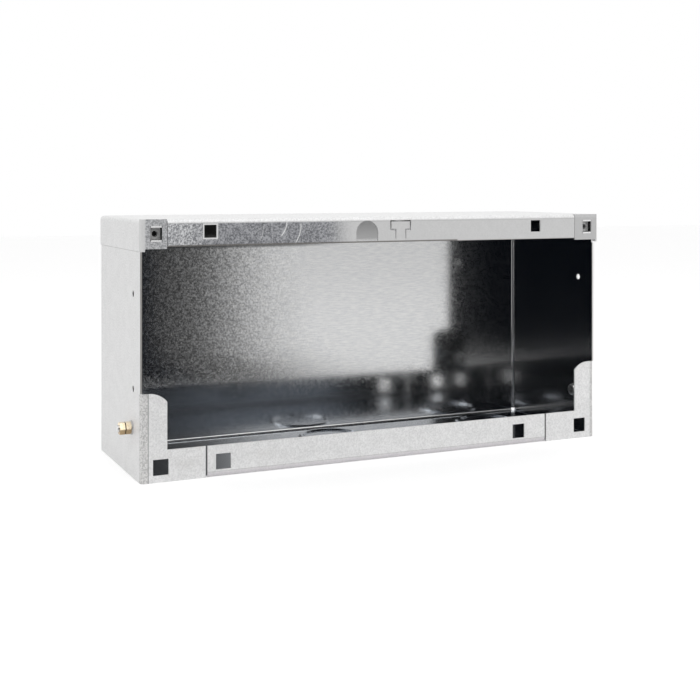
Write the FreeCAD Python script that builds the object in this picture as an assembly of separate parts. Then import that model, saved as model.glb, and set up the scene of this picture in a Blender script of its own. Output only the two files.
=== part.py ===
import FreeCAD, Part
import math
import os

# Flush back box folded from zinc coated sheet, open at the front.
# X runs along the width, Y from the open front (-Y) to the back, Z up.
# The origin is in the middle of the footprint, at the level of the underside. Millimetres.

Vec = FreeCAD.Vector

# Overall sizes
width = 374.0
height = 180.0
depth = 120.0

# Sheet and folds
sheet = 1.2
bend_inside = 2.0
seam = 0.4
slip = 0.8

# Bottom flange and the corner angles at the open front
strip_half_length = 139.5
strip_height = 22.0
strip_end_gap = 1.4
angle_height = 61.0
angle_leg_width = 18.7
angle_crown_width = 12.7
angle_crown_drop = 6.0
edge_setback = 0.6

# Square plate holes in the bottom flange and in the corner angles
plate_hole = 11.0
plate_hole_height = 10.4
strip_hole_reach = 121.5
strip_holes_middle = -6.4
angle_hole_inset = 14.2

# Pressed rings of the conduit entries in the floor
ring_first_x = -8.0
ring_pitch = 145.0
ring_count = 2
ring_from_back = 35.0
ring_radius = 24.0
ring_bead_width = 5.0
ring_bead_height = 1.3
ring_bead_slope = 1.5

# Top cap, its front flange and its corner tabs
cap_flange_height = 19.0
cap_end_height = 22.2
cap_butt_gap = 0.15
cap_lap_gap = 3.0
cap_flange_half_length = 168.0
corner_tab_height = 20.4
cap_hole = 9.0
cap_hole_reach = 134.2
cap_holes_middle = -3.2
cap_hole_drop = 8.8

# Arched cable notch and the lanced tab in the cap's front flange
arch_x = -16.5
arch_width = 17.8
arch_lip = 1.2
arch_crown_drop = 2.8
tab_x = 11.2
tab_slit = 1.0
tab_head_width = 17.4
tab_head_height = 7.4
tab_head_drop = 2.8
tab_stem_width = 9.4
tab_stem_height = 6.4

# Windows in the corner tabs, with a square nut held in a spring cage
window_width = 8.5
window_height = 11.0
window_inset = 11.0
window_drop = 10.0
cage_sheet = 0.5
cage_width = 7.6
cage_play = 0.05
cage_lip = 1.2
cage_depth = 8.8
cage_hook = 1.6
cage_hook_width = 3.0
cage_bore = 6.0
cage_nut_size = 8.0
cage_nut_thickness = 4.0
cage_nut_tap_radius = 2.1

# Fixing holes: two through the left side, the upper one through the right side too
fixing_hole_radius = 2.25
fixing_from_front = 20.0
fixing_low = 62.0
fixing_high = 128.0

# Earth terminals, one through each side
earth_from_front = 24.0
earth_height = 34.5
earth_shank_radius = 2.5
earth_hole_play = 0.25
thread_play = 0.05
earth_tip = 1.6
earth_tip_chamfer = 0.5
washer_radius = 5.0
washer_thickness = 1.0
nut_across_flats = 8.0
nut_thickness = 4.0
nut_chamfer_deg = 30.0
head_radius = 4.75
head_height = 3.6
head_round = 1.5
recess_length = 5.0
recess_width = 1.1
recess_depth = 1.8

# Places that follow from the sizes above
bend_outside = bend_inside + sheet
front = -depth / 2
back = depth / 2
side = width / 2
side_inner = side - sheet
cap_left = side
cap_right = side + cap_lap_gap + sheet
cap_under = height - sheet
side_top = cap_under - slip
fold_front = front + bend_outside + seam
cap_low = height - cap_flange_height
cap_end_low = height - cap_end_height
tab_inner = cap_flange_half_length + seam
angle_end = strip_half_length + strip_end_gap
angle_inner = side - angle_leg_width
fixing_y = front + fixing_from_front
earth_y = front + earth_from_front
window_left = window_inset - cap_left
window_right = cap_right - window_inset
window_z = height - window_drop
far = 2 * width


def block(x_low, x_high, y_low, y_high, z_low, z_high):
    corner = Vec(x_low, y_low, z_low)
    return Part.makeBox(x_high - x_low, y_high - y_low, z_high - z_low, corner)


def centred_block(x, z, size_x, size_z, y_low, y_high):
    return block(x - size_x / 2, x + size_x / 2, y_low, y_high, z - size_z / 2, z + size_z / 2)


def rounded_outline(corners):
    """Closed wire through (point, radius) corners; a radius of 0 leaves a sharp corner."""
    starts = []
    ends = []
    middles = []
    count = len(corners)
    for i in range(count):
        point, radius = corners[i]
        to_last = (corners[i - 1][0] - point).normalize()
        to_next = (corners[(i + 1) % count][0] - point).normalize()
        half = to_last.getAngle(to_next) / 2
        run = radius / math.tan(half)
        inward = (to_last + to_next).normalize()
        starts.append(point + to_last * run)
        ends.append(point + to_next * run)
        middles.append(point + inward * (radius / math.sin(half) - radius))
    edges = []
    for i in range(count):
        if corners[i][1] > 0:
            edges.append(Part.Arc(starts[i], middles[i], ends[i]).toShape())
        edges.append(Part.LineSegment(ends[i], starts[(i + 1) % count]).toShape())
    return Part.Wire(edges)


def folded(outer, inner, place, sweep):
    """Sheet section swept along a vector: outer and inner lines of points run side by side."""
    corners = []
    for line, radius in ((outer, bend_outside), (inner[::-1], bend_inside)):
        last = len(line) - 1
        for i, (a, b) in enumerate(line):
            bend = radius if 0 < i < last else 0
            corners.append((place(a, b), bend))
    return Part.Face(rounded_outline(corners)).extrude(sweep)


def mirrored(shape):
    return shape.mirror(Vec(0, 0, 0), Vec(1, 0, 0))


def both_sides(shape):
    return [shape, mirrored(shape)]


def cross_hole(radius, y, z, reach=far):
    """Round cutter along X from the left: through both sides, or through the left one if it stops halfway."""
    return Part.makeCylinder(radius, reach, Vec(-far / 2, y, z), Vec(1, 0, 0))


def front_squares(size, middle, reach, z):
    """Pair of square cutters through the front, at equal distances from a middle."""
    span = (front - sheet, front + 2 * sheet)
    return [centred_block(x, z, size, size, *span) for x in (middle - reach, middle + reach)]


def floor_and_back():
    """Bottom flange, floor and back in one fold, with the floor's wider rear part."""
    outer = [(front, strip_height), (front, 0), (back, 0), (back, side_top)]
    inner = [(front + sheet, strip_height), (front + sheet, sheet)]
    inner += [(back - sheet, sheet), (back - sheet, side_top)]
    fold = folded(outer, inner, lambda y, z: Vec(-strip_half_length, y, z),
                  Vec(2 * strip_half_length, 0, 0))
    floor_front = front + sheet + seam
    floor_half = side_inner - seam
    outer = [(floor_front, 0), (back, 0), (back, side_top)]
    inner = [(floor_front, sheet), (back - sheet, sheet), (back - sheet, side_top)]
    floor = folded(outer, inner, lambda y, z: Vec(-floor_half, y, z), Vec(2 * floor_half, 0, 0))
    corner = block(side - bend_outside, side, back - bend_outside, back, 0, height)
    return fold.fuse(floor).cut(both_sides(corner))


def sides_and_back():
    """Two sides folded from the back: the left one ends below the cap's end, the right one under the cap."""
    outer = [(-side, fold_front), (-side, back), (side, back), (side, fold_front)]
    inner = [(-side_inner, fold_front), (-side_inner, back - sheet)]
    inner += [(side_inner, back - sheet), (side_inner, fold_front)]
    fold = folded(outer, inner, lambda x, y: Vec(x, y, 0), Vec(0, 0, side_top))
    relief = block(-far, far, back - bend_outside, back, 0, bend_outside)
    seat_half = side - bend_outside
    seat = block(-seat_half, seat_half, back - sheet, back, side_top - sheet, cap_under)
    left_top = cap_end_low - cap_butt_gap
    above_left = block(-far, -seat_half, -far, far, left_top, height)
    left_edge = block(-side, -side_inner, front + edge_setback, fold_front, angle_height, left_top)
    back_end = block(-side_inner + seam, -seat_half, back - sheet, back, left_top, side_top)
    right_low = cap_end_low - slip
    right_edge = block(side_inner, side, front + edge_setback, fold_front, angle_height, right_low)
    under_cap = block(side_inner, side, front + sheet + slip, fold_front, right_low, side_top)
    return fold.cut([relief, above_left]).fuse([seat, left_edge, back_end, right_edge, under_cap])


def corner_angle():
    """Left front angle folded from the side, with a crowned upright leg and a foot."""
    outer = [(-side, fold_front), (-side, front), (-angle_end, front)]
    inner = [(-side_inner, fold_front), (-side_inner, front + sheet), (-angle_end, front + sheet)]
    fold = folded(outer, inner, lambda x, y: Vec(x, y, 0), Vec(0, 0, angle_height))
    above_foot = block(-angle_inner, -angle_end + sheet, front - sheet, front + 2 * sheet,
                       strip_height, angle_height + sheet)
    radius = (angle_crown_width ** 2 + angle_crown_drop ** 2) / (2 * angle_crown_drop)
    crown_x = -angle_inner - angle_crown_width
    crown_low = angle_height - angle_crown_drop
    corner = block(crown_x, -angle_inner + sheet, front - sheet, front + 2 * sheet,
                   crown_low, angle_height + sheet)
    disc = Part.makeCylinder(radius, 4 * sheet, Vec(crown_x, front - 2 * sheet, angle_height - radius),
                             Vec(0, 1, 0))
    return fold.cut([above_foot, corner.cut(disc)])


def ring_bead():
    """Formed section of one pressed ring, turned about the ring's middle."""
    inner = ring_radius - ring_bead_width / 2
    outer = ring_radius + ring_bead_width / 2
    rise = ring_bead_height
    slope = ring_bead_slope
    lower = [(inner, 0), (inner + slope, rise), (outer - slope, rise), (outer, 0)]
    upper = [(r, z + sheet) for r, z in lower[::-1]]
    points = [Vec(r, 0, z) for r, z in lower + upper]
    face = Part.Face(Part.makePolygon(points + points[:1]))
    return face.revolve(Vec(0, 0, 0), Vec(0, 0, 1), 360)


def ring_blank():
    """Band of flat floor that a pressed ring takes the place of."""
    inner = ring_radius - ring_bead_width / 2
    outer = ring_radius + ring_bead_width / 2
    return Part.makeCylinder(outer, sheet).cut(Part.makeCylinder(inner, sheet))


def ring_places():
    return [Vec(ring_first_x + i * ring_pitch, back - ring_from_back, 0) for i in range(ring_count)]


def box_body():
    body = floor_and_back().fuse([sides_and_back()] + both_sides(corner_angle()))
    holes = front_squares(plate_hole, strip_holes_middle, strip_hole_reach, plate_hole_height)
    holes += front_squares(plate_hole, 0, side - angle_hole_inset, plate_hole_height)
    holes.append(cross_hole(fixing_hole_radius, fixing_y, fixing_high))
    holes.append(cross_hole(fixing_hole_radius, fixing_y, fixing_low, far / 2))
    holes.append(cross_hole(earth_shank_radius + earth_hole_play, earth_y, earth_height))
    blanks = [ring_blank().translated(place) for place in ring_places()]
    beads = [ring_bead().translated(place) for place in ring_places()]
    return body.cut(holes + blanks).fuse(beads).removeSplitter()


def arch_cutter():
    """Arched opening, closed below by a narrow lip of the flange."""
    radius = arch_width / 2
    crown = height - arch_crown_drop - radius
    low = cap_low + arch_lip
    span = (front - sheet, front + 2 * sheet)
    lower = block(arch_x - radius, arch_x + radius, *span, low, crown)
    round_top = Part.makeCylinder(radius, 3 * sheet, Vec(arch_x, front - sheet, crown), Vec(0, 1, 0))
    lip = block(arch_x - radius, arch_x + radius, *span, low - far, low)
    return lower.fuse(round_top.cut(lip))


def tee(inset):
    """Tee outline, smaller by an inset all round apart from the foot of its stem."""
    head_top = height - tab_head_drop
    head_low = head_top - tab_head_height
    span = (front - sheet, front + 2 * sheet)
    head_half = tab_head_width / 2 - inset
    stem_half = tab_stem_width / 2 - inset
    head = block(tab_x - head_half, tab_x + head_half, *span, head_low + inset, head_top - inset)
    stem_low = head_low - tab_stem_height
    stem = block(tab_x - stem_half, tab_x + stem_half, *span, stem_low, head_top - inset)
    return head.fuse(stem)


def cap_corner(reach):
    """Left end of the cap's front, that far from the middle: the tab folded from the end flange."""
    inner_reach = reach - sheet
    outer = [(-reach, fold_front), (-reach, front), (-tab_inner, front)]
    inner = [(-inner_reach, fold_front), (-inner_reach, front + sheet), (-tab_inner, front + sheet)]
    tab = folded(outer, inner, lambda x, y: Vec(x, y, cap_end_low), Vec(0, 0, height - cap_end_low))
    flat_end = -reach + bend_outside
    span = (front - sheet, front + 2 * sheet)
    below = block(flat_end, -tab_inner + sheet, *span, cap_end_low - sheet, height - corner_tab_height)
    window = centred_block(window_inset - reach, window_z, window_width, window_height, *span)
    lip = block(flat_end, -tab_inner, front + sheet + seam, fold_front, cap_under, height)
    return tab.cut([below, window]).fuse(lip)


def top_cap():
    outer = [(front, cap_low), (front, height), (back, height)]
    inner = [(front + sheet, cap_low), (front + sheet, cap_under), (back, cap_under)]
    flange = folded(outer, inner, lambda y, z: Vec(-cap_flange_half_length, y, z),
                    Vec(2 * cap_flange_half_length, 0, 0))
    left_inner = -cap_left + sheet
    right_inner = cap_right - sheet
    outer = [(-cap_left, cap_end_low), (-cap_left, height)]
    outer += [(cap_right, height), (cap_right, cap_end_low)]
    inner = [(left_inner, cap_end_low), (left_inner, cap_under)]
    inner += [(right_inner, cap_under), (right_inner, cap_end_low)]
    ends = folded(outer, inner, lambda x, z: Vec(x, fold_front, z), Vec(0, back - fold_front, 0))
    cap = ends.fuse([flange, cap_corner(cap_left), mirrored(cap_corner(cap_right))])
    cutters = [arch_cutter(), tee(0).cut(tee(tab_slit))]
    cutters += front_squares(cap_hole, cap_holes_middle, cap_hole_reach, height - cap_hole_drop)
    return cap.cut(cutters).removeSplitter()


def spring_cage(middle):
    """Cage of one window: a strip folded round the nut, with lips in the window and hooks behind it."""
    top = window_z + window_height / 2 - cage_play
    low = window_z - window_height / 2 + cage_play
    near = front + cage_play
    rear = front + cage_depth
    wall = cage_sheet
    points = [(near, low + cage_lip), (near, low), (rear, low)]
    points += [(rear, top), (near, top), (near, top - cage_lip)]
    points += [(near + wall, top - cage_lip), (near + wall, top - wall), (rear - wall, top - wall)]
    points += [(rear - wall, low + wall), (near + wall, low + wall), (near + wall, low + cage_lip)]
    left = middle - cage_width / 2
    corners = [Vec(left, y, z) for y, z in points]
    strip = Part.Face(Part.makePolygon(corners + corners[:1])).extrude(Vec(cage_width, 0, 0))
    hook_near = front + sheet + cage_play
    hooks = []
    for low_z, high_z in ((low - cage_hook, low), (top, top + cage_hook)):
        hook_half = cage_hook_width / 2
        hooks.append(block(middle - hook_half, middle + hook_half, hook_near, hook_near + wall,
                           low_z, high_z))
    bore_foot = Vec(middle, rear - 2 * wall, window_z)
    bore = Part.makeCylinder(cage_bore / 2, 4 * wall, bore_foot, Vec(0, 1, 0))
    return strip.fuse(hooks).cut(bore).removeSplitter()


def cage_nut(middle):
    """Square nut, seated on the cage's rear wall."""
    rear = front + cage_depth - cage_sheet
    near = rear - cage_nut_thickness
    body = centred_block(middle, window_z, cage_nut_size, cage_nut_size, near, rear)
    bore_foot = Vec(middle, near, window_z)
    bore = Part.makeCylinder(cage_nut_tap_radius, cage_nut_thickness, bore_foot, Vec(0, 1, 0))
    return body.cut(bore)


def turned(points):
    """Solid turned about X from (distance along X, radius) points that close on the axis."""
    corners = [Vec(x, 0, r) for x, r in points]
    face = Part.Face(Part.makePolygon(corners + corners[:1]))
    return face.revolve(Vec(0, 0, 0), Vec(1, 0, 0), 360)


def washer():
    disc = Part.makeCylinder(washer_radius, washer_thickness, Vec(0, 0, 0), Vec(1, 0, 0))
    bore = Part.makeCylinder(earth_shank_radius + thread_play, washer_thickness, Vec(0, 0, 0), Vec(1, 0, 0))
    return disc.cut(bore)


def hex_nut():
    """Hexagon nut along X from 0, chamfered on both faces."""
    flat = nut_across_flats / 2
    corner_radius = flat / math.cos(math.pi / 6)
    turns = [k * math.pi / 3 for k in range(7)]
    ring = [Vec(0, corner_radius * math.cos(turn), corner_radius * math.sin(turn)) for turn in turns]
    prism = Part.Face(Part.makePolygon(ring)).extrude(Vec(nut_thickness, 0, 0))
    rise = (corner_radius - flat) * math.tan(math.radians(nut_chamfer_deg))
    chamfered = turned([(0, 0), (0, flat), (rise, corner_radius), (nut_thickness - rise, corner_radius),
                        (nut_thickness, flat), (nut_thickness, 0)])
    bore = Part.makeCylinder(earth_shank_radius + thread_play, nut_thickness, Vec(0, 0, 0), Vec(1, 0, 0))
    return prism.common(chamfered).cut(bore)


def earth_screw():
    """Pan head screw along -X: the head's underside is at 0 and its tip points outwards."""
    reach = 2 * washer_thickness + sheet + 2 * nut_thickness + earth_tip
    crown = []
    for turn in (0, math.pi / 4, math.pi / 2):
        crown.append((head_height - head_round * (1 - math.sin(turn)),
                      head_radius - head_round * (1 - math.cos(turn))))
    head = turned([(0, 0), (0, head_radius)] + crown + [(head_height, 0)])
    shank = turned([(0, 0), (0, earth_shank_radius), (earth_tip_chamfer - reach, earth_shank_radius),
                    (-reach, earth_shank_radius - earth_tip_chamfer), (-reach, 0)])
    half = recess_length / 2
    thin = recess_width / 2
    deep = head_height - recess_depth
    level = block(deep, head_height, -half, half, -thin, thin)
    upright = block(deep, head_height, -thin, thin, -half, half)
    return head.fuse(shank).cut([level, upright]).removeSplitter()


def earth_terminal():
    """Pieces of the left terminal from the screw inside to the outer nut, in their places."""
    seats = {
        "earth_screw": (earth_screw(), -side_inner + washer_thickness),
        "inner_washer": (washer(), -side_inner),
        "outer_washer": (washer(), -side - washer_thickness),
        "lock_nut": (hex_nut(), -side - washer_thickness - nut_thickness),
        "terminal_nut": (hex_nut(), -side - washer_thickness - 2 * nut_thickness),
    }
    return {name: piece.translated(Vec(x, earth_y, earth_height)) for name, (piece, x) in seats.items()}


def save(name, shape):
    shape.exportStep("parts/" + name + ".step")


os.makedirs("parts", exist_ok=True)
save("box_body", box_body())
save("top_cap", top_cap())
for end_name, middle in (("_left", window_left), ("_right", window_right)):
    save("spring_cage" + end_name, spring_cage(middle))
    save("cage_nut" + end_name, cage_nut(middle))
for name, piece in earth_terminal().items():
    save(name + "_left", piece)
    save(name + "_right", mirrored(piece))
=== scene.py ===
import math

import bpy
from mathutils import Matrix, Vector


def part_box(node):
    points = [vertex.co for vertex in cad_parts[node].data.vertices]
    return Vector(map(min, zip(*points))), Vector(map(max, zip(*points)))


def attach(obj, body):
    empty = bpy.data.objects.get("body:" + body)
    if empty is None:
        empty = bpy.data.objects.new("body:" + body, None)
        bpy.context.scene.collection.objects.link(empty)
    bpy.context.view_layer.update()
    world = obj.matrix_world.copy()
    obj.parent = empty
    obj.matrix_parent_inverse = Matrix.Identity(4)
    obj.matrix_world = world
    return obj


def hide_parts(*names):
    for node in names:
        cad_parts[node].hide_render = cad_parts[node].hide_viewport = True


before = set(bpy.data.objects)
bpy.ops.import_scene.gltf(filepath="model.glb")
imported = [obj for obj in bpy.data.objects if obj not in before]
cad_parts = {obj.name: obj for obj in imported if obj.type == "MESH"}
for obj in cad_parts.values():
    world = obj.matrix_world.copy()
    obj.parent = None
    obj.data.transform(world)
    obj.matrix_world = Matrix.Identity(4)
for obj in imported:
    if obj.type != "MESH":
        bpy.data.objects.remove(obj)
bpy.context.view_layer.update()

# Sizes in metres, in the box's own frame: X along the width, Y from the open front to the back and
# Z up
MM = 0.001
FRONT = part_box("box_body")[0].y
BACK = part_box("box_body")[1].y
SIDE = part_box("box_body")[1].x
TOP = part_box("top_cap")[1].z
# Depth below the outer faces at which the inner finish starts
SKIN = 1.1 * MM

# How the solids' facets are merged, their edges broken and their bends smoothed
MERGE_WITHIN = 1e-6
FLAT_WITHIN = math.radians(0.2)
EDGE_BREAK = 0.12 * MM
BREAK_FROM = math.radians(40)
SMOOTH_UP_TO = math.radians(35)
FLAT_WEIGHT = 100

# Camera of the photograph, with its image taken as 700 by 700 pixels
IMAGE = 700.0
CAMERA_PLACE = (-0.39298, -0.84792, 0.20259)
CAMERA_YAW = math.radians(24.70)
FOCAL_PIXELS = 1182.2
HORIZON_PIXEL = 186.2
SENSOR = 36.0

# Numbers of the sockets that can't be told apart by name in Blender's mixing and ranging nodes
FLOAT_MIX = (0, 2, 3)
COLOUR_MIX = (0, 6, 7)
COLOUR_MIXED = 2
VECTOR_RANGE = (6, 7, 8, 9, 10)


class Nodes:
    """Adds nodes to one tree. A value is a number, a colour, a vector or another node's output."""

    def __init__(self, tree):
        self.tree = tree

    def feed(self, socket, value):
        if isinstance(value, bpy.types.NodeSocket):
            self.tree.links.new(value, socket)
        else:
            socket.default_value = value

    def add(self, kind, inputs=(), **settings):
        made = self.tree.nodes.new(kind)
        for name, value in settings.items():
            setattr(made, name, value)
        for name, value in dict(inputs).items():
            self.feed(made.inputs[name], value)
        return made

    def place(self):
        """Point on the surface, in the box's own frame."""
        return self.add("ShaderNodeTexCoord").outputs["Object"]

    def math(self, operation, *values):
        made = self.add("ShaderNodeMath", operation=operation)
        for socket, value in zip(made.inputs, values):
            self.feed(socket, value)
        return made.outputs[0]

    def vector(self, operation, *values):
        made = self.add("ShaderNodeVectorMath", operation=operation)
        for socket, value in zip(made.inputs, values):
            self.feed(socket, value)
        return made.outputs["Value" if operation == "LENGTH" else "Vector"]

    def same(self, value):
        """Vector with the same value three times."""
        return self.add("ShaderNodeCombineXYZ", {"X": value, "Y": value, "Z": value}).outputs[0]

    def parts(self, vector):
        return self.add("ShaderNodeSeparateXYZ", {"Vector": vector}).outputs

    def between(self, share, low, high):
        made = self.add("ShaderNodeMix", data_type="FLOAT")
        for index, value in zip(FLOAT_MIX, (share, low, high)):
            self.feed(made.inputs[index], value)
        return made.outputs[0]

    def tint(self, share, low, high):
        made = self.add("ShaderNodeMix", data_type="RGBA")
        for index, value in zip(COLOUR_MIX, (share, low, high)):
            self.feed(made.inputs[index], value)
        return made.outputs[COLOUR_MIXED]

    def ramp(self, value, low, high, to_low, to_high):
        made = self.add("ShaderNodeMapRange", interpolation_type="SMOOTHSTEP")
        for name, number in zip(("Value", "From Min", "From Max", "To Min", "To Max"),
                                (value, low, high, to_low, to_high)):
            self.feed(made.inputs[name], number)
        return made.outputs[0]

    def noise(self, vector, detail, roughness):
        inputs = {"Vector": vector, "Scale": 1.0, "Detail": detail, "Roughness": roughness}
        return self.add("ShaderNodeTexNoise", inputs).outputs[0]

    def use(self, tree, **inputs):
        made = self.add("ShaderNodeGroup", node_tree=tree)
        for name, value in inputs.items():
            self.feed(made.inputs[name], value)
        return made.outputs


def new_group(name, inputs, outputs):
    """Empty shader group with named sockets: its nodes, the values given to it and its results."""
    tree = bpy.data.node_groups.new(name, "ShaderNodeTree")
    for way, sockets in (("INPUT", inputs), ("OUTPUT", outputs)):
        for label, kind in sockets.items():
            tree.interface.new_socket(label, in_out=way, socket_type="NodeSocket" + kind)
    nodes = Nodes(tree)
    return nodes, nodes.add("NodeGroupInput").outputs, nodes.add("NodeGroupOutput").inputs


def zone_group():
    """Mask of a box-shaped zone with soft faces."""
    inputs = {"Place": "Vector", "Low": "Vector", "High": "Vector", "Softness": "Vector"}
    nodes, given, result = new_group("zone", inputs, {"Mask": "Float"})
    faces = []
    for edge, start, end in (("Low", 0.0, 1.0), ("High", 1.0, 0.0)):
        face = nodes.add("ShaderNodeMapRange", data_type="FLOAT_VECTOR",
                         interpolation_type="SMOOTHSTEP")
        values = (given["Place"], nodes.vector("SUBTRACT", given[edge], given["Softness"]),
                  nodes.vector("ADD", given[edge], given["Softness"]), (start,) * 3, (end,) * 3)
        for index, value in zip(VECTOR_RANGE, values):
            nodes.feed(face.inputs[index], value)
        faces.append(face.outputs["Vector"])
    x, y, z = nodes.parts(nodes.vector("MULTIPLY", *faces))
    nodes.feed(result["Mask"], nodes.math("MULTIPLY", nodes.math("MULTIPLY", x, y), z))
    return nodes.tree


# Kinds of zinc grain: how much each is stretched, its detail and its roughness
GRAINS = {
    "Blotch": ((1.0, 1.0, 1.0), 2.0, 0.6),
    "Speck": ((3.1, 3.1, 3.1), 2.0, 0.7),
    "Streak": ((0.14, 1.2, 1.2), 2.0, 0.55),
}


def grain_group():
    """Zinc grain of a given size: blotches, finer specks, and streaks along the rolling."""
    nodes, given, result = new_group("zinc grain", {"Place": "Vector", "Size": "Float"},
                                     {label: "Float" for label in GRAINS})
    scaled = nodes.vector("DIVIDE", given["Place"], nodes.same(given["Size"]))
    for label, (stretch, detail, roughness) in GRAINS.items():
        stretched = nodes.vector("MULTIPLY", scaled, stretch)
        nodes.feed(result[label], nodes.noise(stretched, detail, roughness))
    return nodes.tree


def scratch_group():
    """Mask of a thin curved scratch: part of a circle about a centre in the plane of the front."""
    inputs = {"Place": "Vector", "Centre": "Vector", "Radius": "Float", "Width": "Float"}
    nodes, given, result = new_group("curved scratch", inputs, {"Mask": "Float"})
    from_centre = nodes.vector("SUBTRACT", given["Place"], given["Centre"])
    flat = nodes.vector("LENGTH", nodes.vector("MULTIPLY", from_centre, (1.0, 0.0, 1.0)))
    off = nodes.math("ABSOLUTE", nodes.math("SUBTRACT", flat, given["Radius"]))
    nodes.feed(result["Mask"], nodes.ramp(off, 0.0, given["Width"], 1.0, 0.0))
    return nodes.tree


ZONE = zone_group()
GRAIN = grain_group()
SCRATCH = scratch_group()


def new_finish(name):
    """Empty material and its nodes."""
    material = bpy.data.materials.new(name)
    material.use_nodes = True
    material.node_tree.nodes.clear()
    return material, Nodes(material.node_tree)


def close_finish(nodes, colour, metallic, roughness, height, bump, depth):
    """Principled shader of a finish, with its surface relief."""
    relief = nodes.add("ShaderNodeBump", {"Strength": bump, "Distance": depth, "Height": height})
    shader = nodes.add("ShaderNodeBsdfPrincipled", {"Base Color": colour, "Metallic": metallic,
                                                    "Roughness": roughness,
                                                    "Normal": relief.outputs["Normal"]})
    nodes.add("ShaderNodeOutputMaterial", {"Surface": shader.outputs[0]})


def zone(nodes, place, low, high, softness):
    """Mask of a zone given in millimetres, with one softness or one for each axis."""
    soft = softness if isinstance(softness, tuple) else (softness,) * 3
    low, high, soft = [[value * MM for value in corner] for corner in (low, high, soft)]
    return nodes.use(ZONE, Place=place, Low=low, High=high, Softness=soft)["Mask"]


def grey(level, warmth=0.0):
    return (level * (1 + warmth), level, level * (1 - warmth), 1.0)


# Spread of a grain's noise that a finish makes use of
SPREAD = (0.3, 0.7)

# Zinc sheet: sizes of its grains
COARSE_SIZE = 2.3 * MM
FINE_SIZE = 1.1 * MM
FLECK_SIZE = 1.35 * MM
CLOUD_SIZE = 9.0 * MM
# Shares of specks and blotches where the grain shows as flecks
SPECK_SHARE = 0.4
BLOTCH_SHARE = 0.6
# Inside: softness of its border in millimetres, darkest and lightest colour, and roughness
INSIDE_SOFTNESS = 0.05
INNER_COLOURS = ((0.5, 0.505, 0.515, 1.0), (0.585, 0.585, 0.58, 1.0))
INNER_POLISH = (0.1, 0.15)
# Outside: darkest and lightest colour, specks over it, strength of its clouds, roughness and how
# metallic it looks
OUTER_COLOURS = (grey(0.74), grey(0.9))
OUTER_SPECKS = (0.6, 0.72, 0.0, 0.6)
SPECK_COLOUR = grey(0.5)
CLOUD_STRENGTH = (0.975, 1.025)
OUTER_DULLNESS = 0.5
OUTER_METALLIC = 0.12
# Height of the coarse grain where it is even and where it is uneven, and of the fine grain, in
# millimetres
COARSE_RELIEF = (0.008, 0.04)
FINE_RELIEF = 0.012
# Uneven stretch at the left of the back: how it comes and goes along X, Y and Z in millimetres, the
# spread of its flecks and how much they darken and lighten
UNEVEN = ((-135.0, 5.0, 1.0, 0.0), (30.0, 55.0, 0.0, 1.0), (25.0, 60.0, 0.0, 1.0))
FLECK_SPREAD = (0.36, 0.64)
FLECK_STRENGTH = (0.32, 1.68)

# Marks on the sheet: low and high corner and softness of the zone in millimetres, then colour,
# roughness and how fully they cover.
# Tones of the cap: its front flange and its right corner tab
CAP_TONES = [
    ((-168.3, -61, 160.0), (192.0, -59.3, 177.5), 0.4, grey(0.54), 0.5, 0.75),
    ((168.2, -61, 157.0), (192.0, -58.0, 180.5), 0.2, grey(0.48), 0.5, 0.75),
]
# Tones and shade that only the inside has: the cooler floor, the cooler front plates, a painted
# soft shadow on the back under the cap, painted shade on the back behind the cap's left hole, and
# an even, duller grey on the back behind its arch
BODY_INNER_TONES_AND_SHADE = [
    ((-190.0, -57.5, -2.0), (190.0, 57.0, 3.0), 0.3, (0.47, 0.5, 0.54, 1.0), 0.12, 1.0),
    ((-190.0, -62.0, -2.0), (190.0, -58.0, 62.0), 0.3, (0.4, 0.44, 0.5, 1.0), 0.15, 1.0),
    # painted soft shadow on the back under the cap's flange
    ((-250.0, 54.0, 153.2), (-5.0, 64.0, 185.0), (30.0, 1.0, 1.2), grey(0.1), 0.3, 0.75),
    # painted shade on the back behind the cap's left hole
    ((-190.0, 54.0, 162.0), (-45.0, 64.0, 185.0), 3.0, grey(0.02), 0.4, 0.95),
    ((24.0, 54.0, 157.2), (58.0, 64.0, 185.0), (3.0, 1.0, 1.4), grey(0.56), 0.35, 0.95),
]
# Marks of the body: lines at the folds of the left leg, the right leg and the bottom flange,
# painted shade below the last one, the front edges of the left and right side, two stains at the
# bottom, and painted shade on the walls of the two fixing holes at the left
BODY_MARKS = [
    ((-181.9, -61, -1), (-181.3, -58.5, 61.5), 0.15, grey(0.26), 0.5, 0.8),
    ((183.0, -61, -1), (183.4, -58.5, 61.5), 0.15, grey(0.35), 0.5, 0.6),
    ((-139.5, -61, 3.5), (139.5, -58.5, 3.9), 0.15, grey(0.36), 0.5, 0.6),
    # painted shade below the bottom flange's fold
    ((-139.5, -61, -1), (139.5, -58.5, 3.4), 0.3, (0.62, 0.58, 0.62, 1.0), 0.5, 0.5),
    ((-187.5, -59.7, 61.5), (-185.5, -58.9, 157.6), 0.2, grey(0.2, 0.06), 0.6, 0.85),
    ((185.5, -59.7, 61.5), (187.5, -58.9, 157.2), 0.2, grey(0.62, 0.02), 0.6, 0.7),
    ((-162.0, -61, 9.0), (-148.0, -59, 13.0), 4.0, grey(0.5, 0.04), 0.55, 0.6),
    ((-103.0, -61, 10.0), (-92.0, -59, 15.0), 4.0, grey(0.6, 0.03), 0.55, 0.4),
    # painted shade on the walls of the two fixing holes
    ((-186.7, -42.4, 59.6), (-185.7, -37.6, 64.4), 0.05, grey(0.03), 0.6, 0.95),
    ((-186.7, -42.4, 125.6), (-185.7, -37.6, 130.4), 0.05, grey(0.03), 0.6, 0.95),
]
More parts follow.
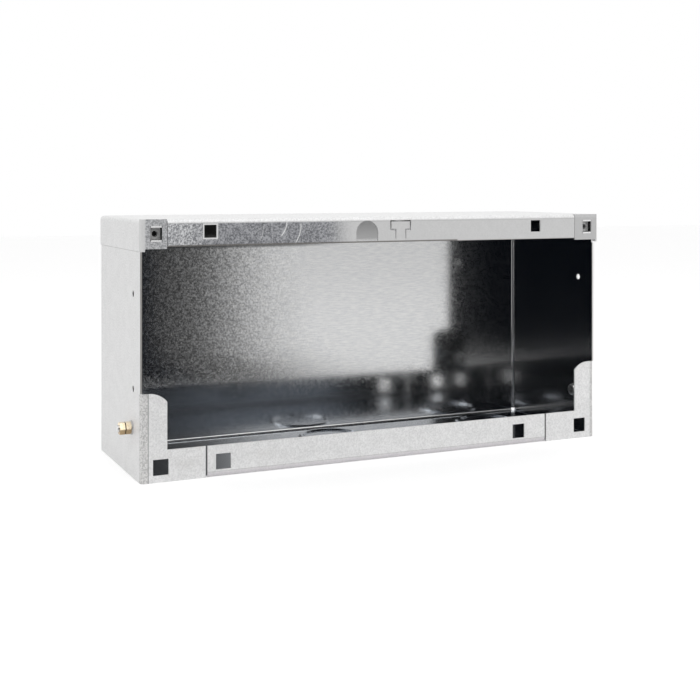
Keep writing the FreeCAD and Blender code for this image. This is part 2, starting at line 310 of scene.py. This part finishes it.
# Marks of the cap: the line at the front flange's fold, a painted shadow line along the flange's
# lower edge at the left and at the right, the edge of the left corner tab, and a painted highlight
# on the rim of the left hole
CAP_MARKS = [
    ((-30.0, -61, 176.4), (168.0, -58.5, 176.8), 0.15, grey(0.42), 0.5, 0.6),
    # painted shadow lines along the flange's lower edge, at the left and at the right
    ((-168.2, -61, 160.5), (60.0, -58.7, 162.0), 0.35, grey(0.13, 0.08), 0.6, 0.9),
    ((60.0, -61, 160.5), (168.0, -58.7, 161.5), 0.3, grey(0.4, 0.06), 0.6, 0.6),
    ((-187.5, -61, 157.0), (-183.6, -56, 180.5), 0.4, grey(0.66), 0.5, 0.8),
    # painted highlight on the rim of the left hole
    ((-142.9, -61, 165.7), (-131.9, -59.6, 176.7), 0.2, grey(0.8), 0.5, 0.9),
]

# Stretches of the front where the grain is dark and coarse: low and high corner, and the places
# along X where it is full and where it has faded, in millimetres
CAP_STRETCHES = [((-168.2, -61, 160.0), (0.0, -59.4, 176.8), (-52.0, -26.0)),
                 ((-168.2, -61, 160.0), (0.0, -59.4, 176.8), (-156.0, -132.0)),
                 ((-184.2, -61, 157.0), (-168.2, -58.5, 180.5), (-168.0, -167.0))]
BODY_STRETCHES = [((-187.5, -61, -1.0), (-181.7, -56.5, 61.5), (-181.0, -180.0)),
                  ((183.4, -61, -1.0), (187.5, -56.5, 61.5), (188.0, 189.0))]
# Dark and light colour of the flecks in each stretch
CAP_FLECKS = [((0.08, 0.085, 0.1, 1.0), (0.4, 0.405, 0.43, 1.0)),
              ((0.2, 0.205, 0.22, 1.0), (0.76, 0.765, 0.78, 1.0)),
              ((0.22, 0.225, 0.235, 1.0), (0.56, 0.565, 0.58, 1.0))]
BODY_FLECKS = [(grey(0.46, 0.01), grey(0.8, 0.01)), (grey(0.5, 0.01), grey(0.78, 0.01))]
# Softness of a stretch in millimetres, the spread of its flecks and how fully they cover
STRETCH_SOFTNESS = 0.4
STRETCH_SPREAD = (0.4, 0.6)
STRETCH_COVER = 0.9

# Scratches on the cap's front: where each starts and ends as X and Z, how far it bows to the right
# and its width, all in millimetres, and how fully it covers
SCRATCHES = [
    ((-80.2, 176.9), (-84.8, 166.9), 1.0, 0.8, 1.0),
    ((-69.4, 176.1), (-73.3, 162.4), 1.2, 0.75, 0.9),
    ((-97.7, 175.0), (-101.5, 162.3), 0.8, 0.4, 0.45),
    ((-92.4, 176.5), (-91.0, 163.0), 0.4, 0.3, 0.3),
]
# Their colour, how far before and behind the front they reach and how softly they end
SCRATCH_COLOUR = grey(0.95)
SCRATCH_BEFORE = 1.0
SCRATCH_BEHIND = 0.6
SCRATCH_SOFTNESS = 1.5


def zinc_sheet(name, inner_tones_and_shade, tones, stretches, flecks, marks, scratches):
    """Zinc coated sheet: blurred mirror inside, paler and duller outside, marks, painted shade and
    highlight.
    """
    material, nodes = new_finish(name)
    place = nodes.place()
    low = (-SIDE / MM + SKIN / MM, FRONT / MM + SKIN / MM, SKIN / MM)
    high = (SIDE / MM - SKIN / MM, BACK / MM - SKIN / MM, TOP / MM - SKIN / MM)
    inside = zone(nodes, place, low, high, INSIDE_SOFTNESS)
    coarse = nodes.use(GRAIN, Place=place, Size=COARSE_SIZE)
    fine = nodes.use(GRAIN, Place=place, Size=FINE_SIZE)
    uneven = uneven_stretch(nodes, place)
    inner, polish = marked(nodes, place, inner_zinc(nodes, place, fine, uneven),
                           nodes.ramp(coarse["Blotch"], *SPREAD, *INNER_POLISH), inner_tones_and_shade)
    colour = nodes.tint(inside, outer_zinc(nodes, place, coarse, fine), inner)
    roughness = nodes.between(inside, OUTER_DULLNESS, polish)
    metallic = nodes.between(inside, OUTER_METALLIC, 1.0)
    colour, roughness = marked(nodes, place, colour, roughness, tones)
    for stretch, colours in zip(stretches, flecks):
        colour = grainy(nodes, place, colour, fine, stretch, *colours)
    colour, roughness = marked(nodes, place, colour, roughness, marks)
    for line in scratches:
        colour = scratch(nodes, place, colour, *line)
    coarse_height = nodes.between(uneven, *COARSE_RELIEF)
    height = nodes.math("ADD", nodes.math("MULTIPLY", coarse["Blotch"], coarse_height),
                        nodes.math("MULTIPLY", fine["Blotch"], FINE_RELIEF))
    close_finish(nodes, colour, metallic, roughness, height, 1.0, MM)
    return material


def uneven_stretch(nodes, place):
    """Mask of the uneven stretch at the left of the back."""
    mask = 1.0
    for along, (start, end, first, last) in zip(nodes.parts(place), UNEVEN):
        mask = nodes.math("MULTIPLY", mask, nodes.ramp(along, start * MM, end * MM, first, last))
    return mask


def inner_zinc(nodes, place, fine, uneven):
    """Colour of the mirror inside: faint streaks, with flecks where it is uneven."""
    streaks = nodes.tint(nodes.ramp(fine["Streak"], *SPREAD, 0.0, 1.0), *INNER_COLOURS)
    grain = mixed_grain(nodes, nodes.use(GRAIN, Place=place, Size=FLECK_SIZE))
    fleck = nodes.ramp(grain, *FLECK_SPREAD, *FLECK_STRENGTH)
    return nodes.vector("MULTIPLY", streaks, nodes.same(nodes.between(uneven, 1.0, fleck)))


def outer_zinc(nodes, place, coarse, fine):
    """Colour of the skin outside: fine blotches with specks and faint clouds."""
    blotches = nodes.tint(nodes.ramp(fine["Blotch"], *SPREAD, 0.0, 1.0), *OUTER_COLOURS)
    specked = nodes.tint(nodes.ramp(coarse["Speck"], *OUTER_SPECKS), blotches, SPECK_COLOUR)
    clouds = nodes.use(GRAIN, Place=place, Size=CLOUD_SIZE)["Blotch"]
    strength = nodes.ramp(clouds, *SPREAD, *CLOUD_STRENGTH)
    return nodes.vector("MULTIPLY", specked, nodes.same(strength))


def marked(nodes, place, colour, roughness, marks):
    """Colour and roughness with a list of marks laid over them."""
    for low, high, softness, mark, dullness, cover in marks:
        share = nodes.math("MULTIPLY", zone(nodes, place, low, high, softness), cover)
        colour = nodes.tint(share, colour, mark)
        roughness = nodes.between(share, roughness, dullness)
    return colour, roughness


def mixed_grain(nodes, grain):
    """Specks and blotches of a grain in one value."""
    return nodes.math("ADD", nodes.math("MULTIPLY", grain["Speck"], SPECK_SHARE),
                      nodes.math("MULTIPLY", grain["Blotch"], BLOTCH_SHARE))


def grainy(nodes, place, colour, grain, stretch, dark, light):
    """Colour with dark coarse flecks laid over one stretch of the front."""
    low, high, (full, faded) = stretch
    fade = nodes.ramp(nodes.parts(place)[0], full * MM, faded * MM, 1.0, 0.0)
    patch = nodes.math("MULTIPLY", zone(nodes, place, low, high, STRETCH_SOFTNESS), fade)
    share = nodes.ramp(mixed_grain(nodes, grain), *STRETCH_SPREAD, 0.0, 1.0)
    flecks = nodes.tint(share, dark, light)
    return nodes.tint(nodes.math("MULTIPLY", patch, STRETCH_COVER), colour, flecks)


def scratch(nodes, place, colour, start, end, bow, width, cover):
    """Colour with a pale scratch laid over it, along an arc from start to end."""
    (x0, z0), (x1, z1) = start, end
    chord = math.hypot(x1 - x0, z1 - z0)
    radius = bow / 2 + chord ** 2 / (8 * bow)
    across = ((z1 - z0) / chord, -(x1 - x0) / chord)
    side = radius - bow
    if across[0] > 0:
        side = -side
    front = FRONT / MM
    centre = ((x0 + x1) / 2 + across[0] * side, front, (z0 + z1) / 2 + across[1] * side)
    arc = nodes.use(SCRATCH, Place=place, Centre=[value * MM for value in centre],
                    Radius=radius * MM, Width=width * MM)["Mask"]
    low = (min(x0, x1) - bow, front - SCRATCH_BEFORE, min(z0, z1))
    high = (max(x0, x1) + bow, front + SCRATCH_BEHIND, max(z0, z1))
    span = zone(nodes, place, low, high, SCRATCH_SOFTNESS)
    share = nodes.math("MULTIPLY", nodes.math("MULTIPLY", arc, span), cover)
    return nodes.tint(share, colour, SCRATCH_COLOUR)


# Plated steel: size of its bloom, its darkest and lightest tone, its spread of roughness and the
# strength of its relief
BLOOM_SIZE = 0.7 * MM
BLOOM_TONES = (0.8, 1.15)
BLOOM_DULLNESS = (0.8, 1.25)
BLOOM_RELIEF = 0.2
# Depth of the relief on all fittings
FITTING_RELIEF = 0.02 * MM


def plated_steel(name, level, roughness, metallic=1.0):
    """Small zinc plated steel pieces, with a fine uneven bloom."""
    material, nodes = new_finish(name)
    grain = nodes.use(GRAIN, Place=nodes.place(), Size=BLOOM_SIZE)
    colour = nodes.tint(grain["Blotch"], *[grey(level * tone) for tone in BLOOM_TONES])
    dullness = nodes.ramp(grain["Speck"], *SPREAD, *[roughness * share for share in BLOOM_DULLNESS])
    close_finish(nodes, colour, metallic, dullness, grain["Speck"], BLOOM_RELIEF, FITTING_RELIEF)
    return material


# Brass: size and spread of its tarnish, clean and tarnished colour, roughness and strength of its
# relief
TARNISH_SIZE = 1.2 * MM
TARNISH_SPREAD = (0.35, 0.7)
BRASS_COLOURS = ((0.97, 0.85, 0.65, 1.0), (0.9, 0.73, 0.48, 1.0))
BRASS_DULLNESS = (0.22, 0.34)
BRASS_RELIEF = 0.25
# Painted shade on the underside of the nuts: where it ends along Z and how fully it covers, and its
# colour
LOWER_FACET_SHADE = (33.5 * MM, 34.8 * MM, 0.85, 0.0)
LOWER_FACET_SHADE_COLOUR = (0.36, 0.25, 0.13, 1.0)
# Painted shade in the groove where the two nuts meet: its distance from the middle of the box, how
# wide and how fully it covers, and its colour
NUT_JOINT_PLACE = 192.0 * MM
NUT_JOINT_SHADE = (0.25 * MM, 0.5 * MM, 0.9, 0.0)
NUT_JOINT_SHADE_COLOUR = (0.05, 0.035, 0.02, 1.0)


def turned_brass(name):
    """Brass nuts with a slight tarnish, painted shade on their underside and in the groove between
    them.
    """
    material, nodes = new_finish(name)
    place = nodes.place()
    grain = nodes.use(GRAIN, Place=place, Size=TARNISH_SIZE)
    tarnish = nodes.ramp(grain["Blotch"], *TARNISH_SPREAD, 0.0, 1.0)
    colour = nodes.tint(tarnish, *BRASS_COLOURS)
    along, _, up = nodes.parts(place)
    colour = nodes.tint(nodes.ramp(up, *LOWER_FACET_SHADE), colour, LOWER_FACET_SHADE_COLOUR)
    off = nodes.math("SUBTRACT", nodes.math("ABSOLUTE", along), NUT_JOINT_PLACE)
    colour = nodes.tint(nodes.ramp(nodes.math("ABSOLUTE", off), *NUT_JOINT_SHADE), colour, NUT_JOINT_SHADE_COLOUR)
    dullness = nodes.ramp(grain["Speck"], *SPREAD, *BRASS_DULLNESS)
    close_finish(nodes, colour, 1.0, dullness, grain["Speck"], BRASS_RELIEF, FITTING_RELIEF)
    return material


def only(piece):
    """Makes a piece the only one selected, and the active one."""
    bpy.ops.object.select_all(action="DESELECT")
    piece.select_set(True)
    bpy.context.view_layer.objects.active = piece


def apply(piece, kind, **settings):
    """Adds a modifier to a piece and applies it."""
    modifier = piece.modifiers.new(kind.lower(), kind)
    for name, value in settings.items():
        setattr(modifier, name, value)
    bpy.ops.object.modifier_apply(modifier=modifier.name)


def merged_copy(node, name, material):
    """Copy of a solid with its facets merged into faces."""
    piece = bpy.data.objects.new(name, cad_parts[node].data.copy())
    bpy.context.scene.collection.objects.link(piece)
    piece.data.materials.clear()
    piece.data.materials.append(material)
    only(piece)
    bpy.ops.mesh.customdata_custom_splitnormals_clear()
    bpy.ops.object.mode_set(mode="EDIT")
    bpy.ops.mesh.select_all(action="SELECT")
    bpy.ops.mesh.remove_doubles(threshold=MERGE_WITHIN)
    bpy.ops.mesh.dissolve_limited(angle_limit=FLAT_WITHIN)
    bpy.ops.object.mode_set(mode="OBJECT")
    return piece


# Pressed rings of the floor: the middle of the first one, their spacing, reach and height, and the
# radius of their edges, from which angle on they are rounded and in how many steps
RING_FIRST = (-8.0 * MM, 25.0 * MM)
RING_PITCH = 145.0 * MM
RING_REACH = 27.0 * MM
RING_HEIGHT = 2.7 * MM
RING_EDGE = 0.6 * MM
RING_SHARP = math.radians(30)
RING_STEPS = 3


def round_rings(body):
    """Rounds the long edges of the pressed rings."""
    bpy.ops.object.mode_set(mode="EDIT")
    bpy.ops.mesh.select_mode(type="EDGE")
    bpy.ops.mesh.select_all(action="DESELECT")
    bpy.ops.mesh.edges_select_sharp(sharpness=RING_SHARP)
    bpy.ops.object.mode_set(mode="OBJECT")
    weights = body.data.attributes.new("bevel_weight_edge", "FLOAT", "EDGE")
    for edge, weight in zip(body.data.edges, weights.data):
        if edge.select and all(in_ring(body.data.vertices[i].co) for i in edge.vertices):
            weight.value = 1.0
    apply(body, "BEVEL", width=RING_EDGE, segments=RING_STEPS, limit_method="WEIGHT")


def in_ring(point):
    """Whether a point belongs to one of the two rings."""
    x = point.x - RING_FIRST[0]
    nearest = min(abs(x), abs(x - RING_PITCH))
    return point.z < RING_HEIGHT and math.hypot(nearest, point.y - RING_FIRST[1]) < RING_REACH


def smoothed(piece, edge_break=0.0):
    """The piece with broken edges, smooth bends and flat faces."""
    only(piece)
    if edge_break:
        apply(piece, "BEVEL", width=edge_break, segments=1, limit_method="ANGLE",
              angle_limit=BREAK_FROM, use_clamp_overlap=True)
    bpy.ops.object.shade_smooth_by_angle(angle=SMOOTH_UP_TO)
    apply(piece, "WEIGHTED_NORMAL", keep_sharp=True, weight=FLAT_WEIGHT)
    return piece


def dress(piece, node):
    """Puts a finished piece in the place of its solid."""
    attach(piece, "root")
    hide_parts(node)


# Dark side of the studio, which only reflections show: its distance from the box, its height, its
# gap above the floor and how near its foot comes
DARK_AWAY = 0.35
DARK_HEIGHT = 0.26
DARK_GAP = 0.5 * MM
DARK_FOOT = 0.12
# Height below which an edge of the card is its lower one
DARK_LOWER = 0.01
# Its ends along X, and where and by how much it brightens in two steps
DARK_LEFT = -1.0
DARK_RIGHT = 0.17
DARK_FADES = ((-0.05, 0.02, 0.0, 0.14), (0.02, 0.16, 0.0, 0.86))
# Its light and tint at the dark end, and the brightness at which the tint is gone
DARK_LEVEL = 0.008
DARK_TINT = (0.3, 0.5, 1.0, 1.0)
DARK_TINT_ENDS = 0.06


def dark_side():
    """Upright card with a foot towards the box, dark at the left and white at its right edge."""
    bpy.ops.object.select_all(action="DESELECT")
    middle = ((DARK_LEFT + DARK_RIGHT) / 2, FRONT - DARK_AWAY, DARK_HEIGHT / 2)
    bpy.ops.mesh.primitive_plane_add(size=1.0, location=middle, rotation=(math.pi / 2, 0, 0))
    card = bpy.context.object
    card.name = "dark_card"
    card.scale = (DARK_RIGHT - DARK_LEFT, DARK_HEIGHT - 2 * DARK_GAP, 1)
    bpy.ops.object.transform_apply(location=True, rotation=True, scale=True)
    bpy.ops.object.mode_set(mode="EDIT")
    bpy.ops.mesh.select_mode(type="EDGE")
    bpy.ops.mesh.select_all(action="DESELECT")
    bpy.ops.object.mode_set(mode="OBJECT")
    for edge in card.data.edges:
        edge.select = all(card.data.vertices[i].co.z < DARK_LOWER for i in edge.vertices)
    bpy.ops.object.mode_set(mode="EDIT")
    towards_box = (0, DARK_AWAY - DARK_FOOT, 0)
    bpy.ops.mesh.extrude_region_move(TRANSFORM_OT_translate={"value": towards_box})
    bpy.ops.object.mode_set(mode="OBJECT")
    card.data.materials.append(dark_finish())
    card.visible_camera = False
    card.visible_diffuse = False
    card.visible_shadow = False
    return card


def dark_finish():
    """Faint bluish light that turns to white towards the card's right edge."""
    material, nodes = new_finish("dark side of the studio")
    along = nodes.parts(nodes.place())[0]
    level = nodes.math("ADD", *[nodes.ramp(along, *fade) for fade in DARK_FADES])
    colour = nodes.tint(nodes.ramp(level, 0.0, DARK_TINT_ENDS, 0.0, 1.0), DARK_TINT, grey(1.0))
    strength = nodes.math("ADD", level, DARK_LEVEL)
    light = nodes.add("ShaderNodeEmission", {"Color": colour, "Strength": strength})
    nodes.add("ShaderNodeOutputMaterial", {"Surface": light.outputs[0]})
    return material


# Floor: its size, its distance below the box, so that their faces don't coincide, its colour and
# roughness, and the glow that makes it white where it is seen
FLOOR_SIZE = 8.0
FLOOR_DROP = 0.02 * MM
FLOOR_COLOUR = grey(0.85)
FLOOR_ROUGHNESS = 0.9
FLOOR_GLOW = 0.33
# Strength of the white surround as light on the object, and where it is seen
SURROUND_LIGHT = 0.72
SURROUND_SEEN = 1.0
# Lamps: where they stand, their size and their power
LAMPS = {
    "overhead": ((0.0, -0.6, 1.3), 1.4, 6.5),
    "left": ((-1.3, -0.1, 0.6), 0.9, 0.5),
}


def stage():
    """Pale floor, the studio's dark side and the lamps."""
    bpy.ops.object.select_all(action="DESELECT")
    bpy.ops.mesh.primitive_plane_add(size=FLOOR_SIZE, location=(0, 0, -FLOOR_DROP))
    floor = bpy.context.object
    floor.name = "floor"
    floor.data.materials.append(floor_finish())
    dark_side()
    for name, (place, size, power) in LAMPS.items():
        light = bpy.data.lights.new(name, "AREA")
        light.size = size
        light.energy = power
        lamp = bpy.data.objects.new(name, light)
        bpy.context.scene.collection.objects.link(lamp)
        lamp.location = place
        lamp.rotation_euler = (-lamp.location).to_track_quat("-Z", "Y").to_euler()


def seen_share(nodes):
    """1 for rays from the camera, from a mirror-like surface or through glass, otherwise 0."""
    path = nodes.add("ShaderNodeLightPath").outputs
    seen = nodes.math("MAXIMUM", path["Is Camera Ray"], path["Is Glossy Ray"])
    return nodes.math("MAXIMUM", seen, path["Is Transmission Ray"])


def floor_finish():
    """Pale floor that keeps the object's shadow and is white around it."""
    material, nodes = new_finish("pale floor")
    glow = nodes.math("MULTIPLY", seen_share(nodes), FLOOR_GLOW)
    shader = nodes.add("ShaderNodeBsdfPrincipled", {"Base Color": FLOOR_COLOUR,
                                                    "Roughness": FLOOR_ROUGHNESS,
                                                    "Emission Color": grey(1.0),
                                                    "Emission Strength": glow})
    nodes.add("ShaderNodeOutputMaterial", {"Surface": shader.outputs[0]})
    return material


def surround():
    """White surround, which lights the object less than it is seen."""
    world = bpy.data.worlds.new("white surround")
    bpy.context.scene.world = world
    world.use_nodes = True
    world.node_tree.nodes.clear()
    nodes = Nodes(world.node_tree)
    strength = nodes.between(seen_share(nodes), SURROUND_LIGHT, SURROUND_SEEN)
    sky = nodes.add("ShaderNodeBackground", {"Color": grey(1.0), "Strength": strength})
    nodes.add("ShaderNodeOutputWorld", {"Surface": sky.outputs[0]})
    bpy.context.scene.view_settings.view_transform = "Standard"


def photo_camera():
    """Level camera at the photograph's place, its frame shifted to the photograph's horizon."""
    lens = bpy.data.cameras.new("photo_camera")
    lens.sensor_width = SENSOR
    lens.lens = FOCAL_PIXELS / IMAGE * SENSOR
    lens.shift_y = (HORIZON_PIXEL - IMAGE / 2) / IMAGE
    camera = bpy.data.objects.new("photo_camera", lens)
    bpy.context.scene.collection.objects.link(camera)
    camera.location = CAMERA_PLACE
    camera.rotation_euler = (math.pi / 2, 0, -CAMERA_YAW)
    bpy.context.scene.camera = camera


def box():
    """Folded body and flanged cap."""
    body_zinc = zinc_sheet("zinc sheet of the body", BODY_INNER_TONES_AND_SHADE, (), BODY_STRETCHES, BODY_FLECKS,
                           BODY_MARKS, ())
    cap_zinc = zinc_sheet("zinc sheet of the cap", (), CAP_TONES, CAP_STRETCHES, CAP_FLECKS,
                          CAP_MARKS, SCRATCHES)
    body = merged_copy("box_body", "folded_body", body_zinc)
    round_rings(body)
    dress(smoothed(body, EDGE_BREAK), "box_body")
    cap = merged_copy("top_cap", "flanged_cap", cap_zinc)
    dress(smoothed(cap, EDGE_BREAK), "top_cap")


def fittings():
    """Caged nuts and earth terminals of both sides."""
    spring = plated_steel("bright spring strip", level=0.88, roughness=0.4, metallic=0.2)
    nut = plated_steel("plated nut", level=0.5, roughness=0.4, metallic=0.3)
    screw = plated_steel("plated screw", level=0.68, roughness=0.28)
    washer = plated_steel("plated washer", level=0.6, roughness=0.35)
    brass = turned_brass("turned brass")
    finishes = {
        "spring_cage": ("nut_spring", spring, "spring_steel"),
        "cage_nut": ("square_nut", nut, "nut_steel"),
        "earth_screw": ("terminal_screw", screw, "screw_steel"),
        "inner_washer": ("inside_washer", washer, "washer_steel"),
        "outer_washer": ("outside_washer", washer, "washer_steel"),
        "lock_nut": ("locking_nut", brass, "terminal_brass"),
        "terminal_nut": ("clamping_nut", brass, "terminal_brass"),
    }
    for side in ("left", "right"):
        for node, (name, material, slot) in finishes.items():
            piece = merged_copy(f"{node}_{side}", f"{name}_{side}", material)
            dress(smoothed(piece), f"{node}_{side}")


surround()
stage()
photo_camera()
box()
fittings()
